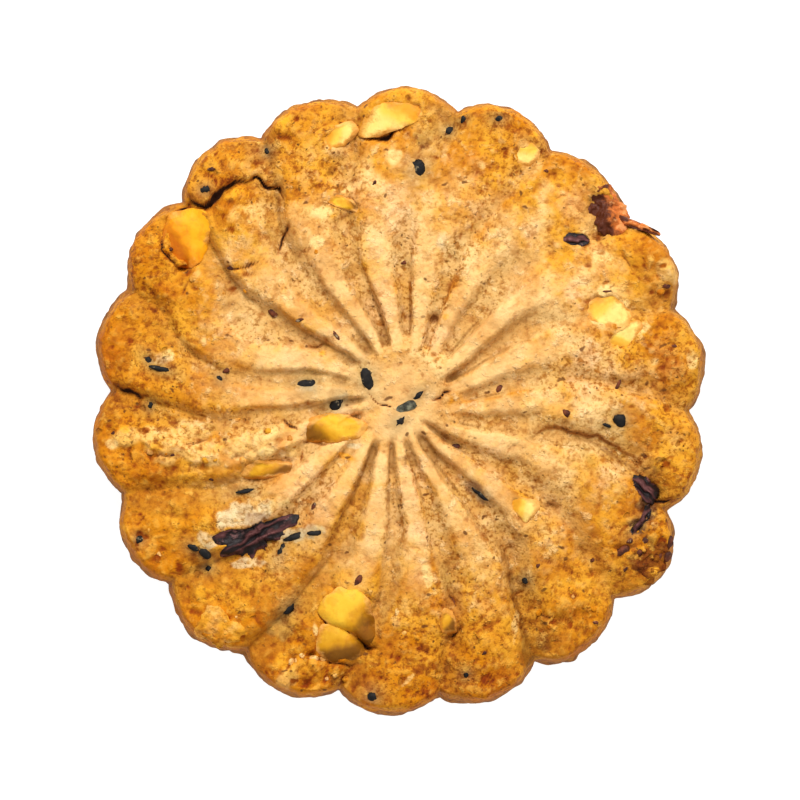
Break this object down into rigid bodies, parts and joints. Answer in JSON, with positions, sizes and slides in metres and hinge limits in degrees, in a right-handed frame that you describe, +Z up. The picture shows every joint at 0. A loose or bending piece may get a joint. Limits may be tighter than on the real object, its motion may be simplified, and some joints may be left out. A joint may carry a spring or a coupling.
{
  "type": "oat biscuit",
  "caption": "Round oat biscuit with a scalloped edge and a swirl of pressed flutes, set with chopped nuts, raisins and black sesame seeds.",
  "frame": {"origin": "middle of the flat base, on the surface that the biscuit lies on", "axes": "+Z up through the pressed face, +Y towards the top of the picture, +X to its right"},
  "size_m": [0.0688, 0.0708, 0.0093],
  "materials": {
    "dough": "matte",
    "nut": "satin",
    "raisin": "satin"
  },
  "bodies": {
    "root": {"dough": "dough", "nut_1": "nut", "nut_2": "nut", "nut_3": "nut", "nut_4": "nut", "nut_5": "nut", "nut_6": "nut", "nut_7": "nut", "nut_8": "nut", "nut_9": "nut", "nut_10": "nut", "nut_11": "nut", "nut_12": "nut", "nut_13": "nut", "raisin_1": "raisin", "raisin_2": "raisin", "raisin_3": "raisin"}
  },
  "joints": []
}
